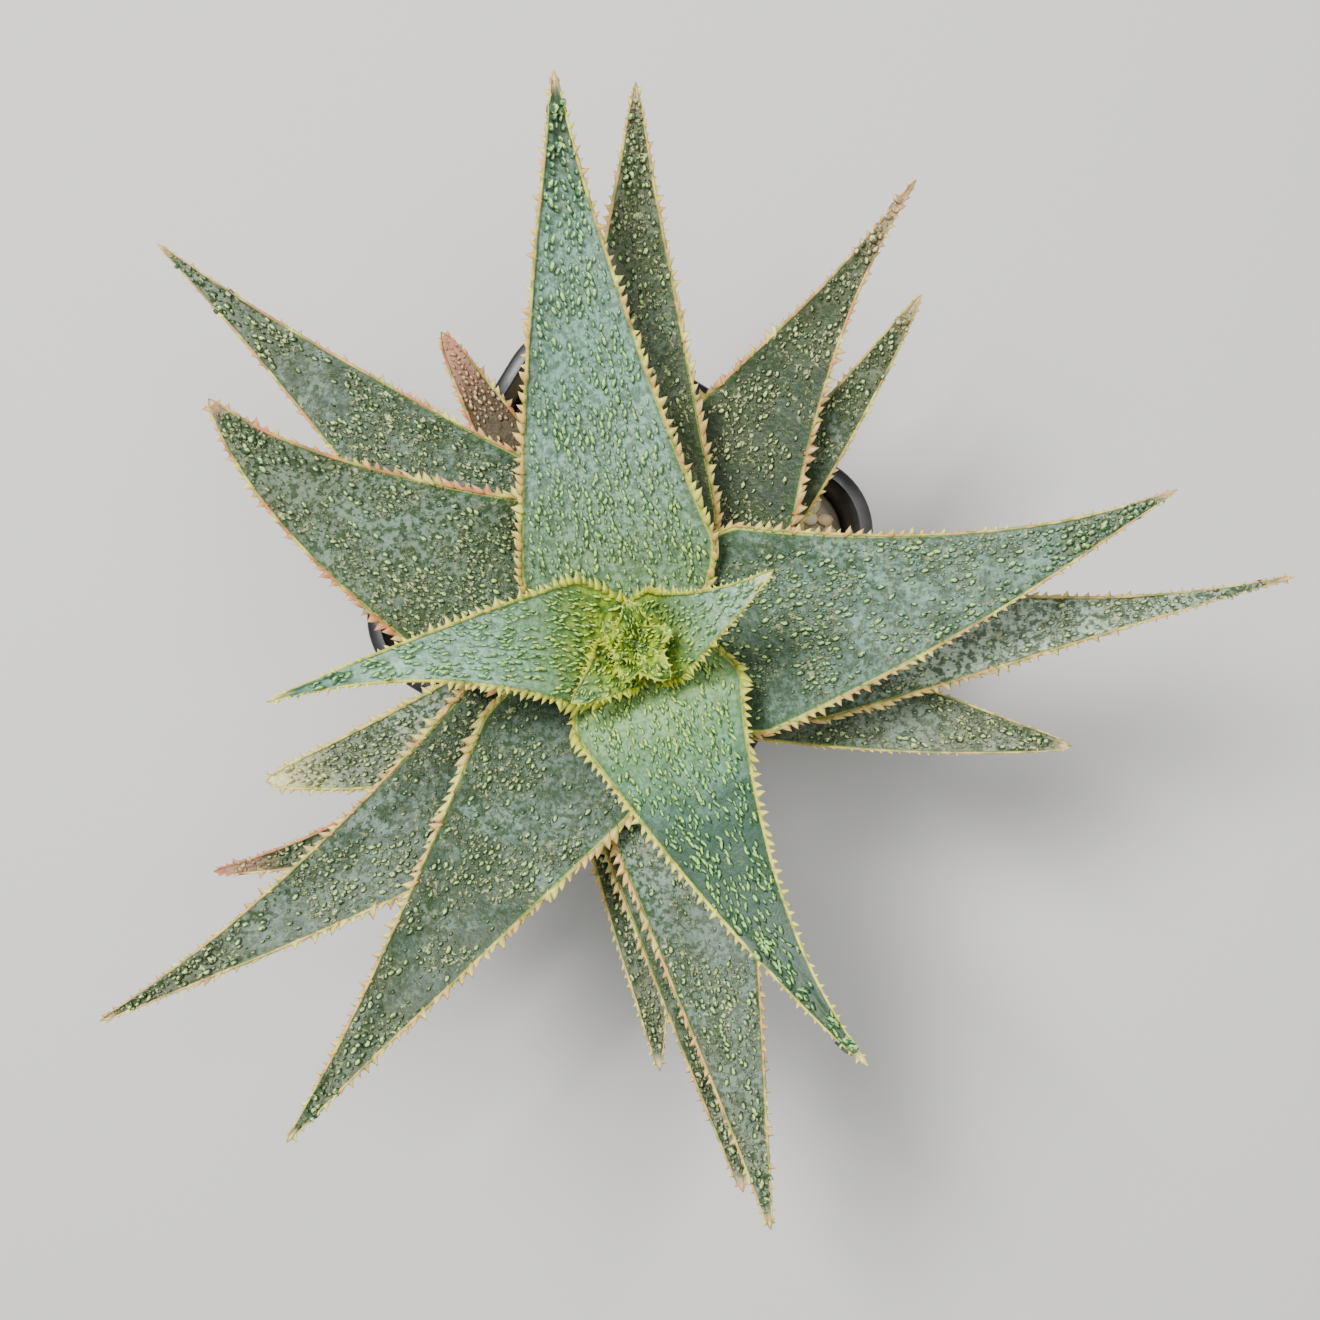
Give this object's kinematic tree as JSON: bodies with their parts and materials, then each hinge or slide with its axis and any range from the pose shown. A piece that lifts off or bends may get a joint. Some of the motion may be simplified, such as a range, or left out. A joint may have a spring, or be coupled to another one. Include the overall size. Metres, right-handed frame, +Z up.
{
  "type": "potted lavender star aloe",
  "caption": "Star aloe with a spiral rosette of thick toothed leaves covered in pale tubercles, in a rounded square nursery pot with gravel.",
  "frame": {"origin": "centre of the pot's base, on the surface that it stands on", "axes": "+Z up, +Y to the top of the picture and +X to its right, as seen from above; the pot's sides are turned 31.4 degrees clockwise from the axes"},
  "size_m": [0.2424, 0.227, 0.166],
  "materials": {
    "black_plastic": "satin",
    "potting_mix": "matte",
    "pale_gravel": "matte",
    "stem_tissue": "matte",
    "heart_green": "satin",
    "young_leaf": "satin",
    "grown_leaf": "satin",
    "old_leaf": "satin",
    "dried_leaf": "matte"
  },
  "bodies": {
    "root": {"pot": "black_plastic", "soil": "potting_mix", "gravel": "pale_gravel", "stem": "stem_tissue", "heart": "heart_green", "leaf_01": "young_leaf", "leaf_02": "young_leaf", "leaf_03": "young_leaf", "leaf_04": "grown_leaf", "leaf_05": "grown_leaf", "leaf_06": "grown_leaf", "leaf_07": "grown_leaf", "leaf_08": "grown_leaf", "leaf_09": "grown_leaf", "leaf_10": "grown_leaf", "leaf_11": "old_leaf", "leaf_12": "old_leaf", "leaf_13": "old_leaf", "leaf_14": "old_leaf", "leaf_15": "old_leaf", "leaf_16": "old_leaf", "leaf_17": "old_leaf", "leaf_18": "dried_leaf", "leaf_19": "old_leaf", "leaf_20": "old_leaf", "leaf_21": "old_leaf", "leaf_22": "old_leaf"}
  },
  "joints": []
}
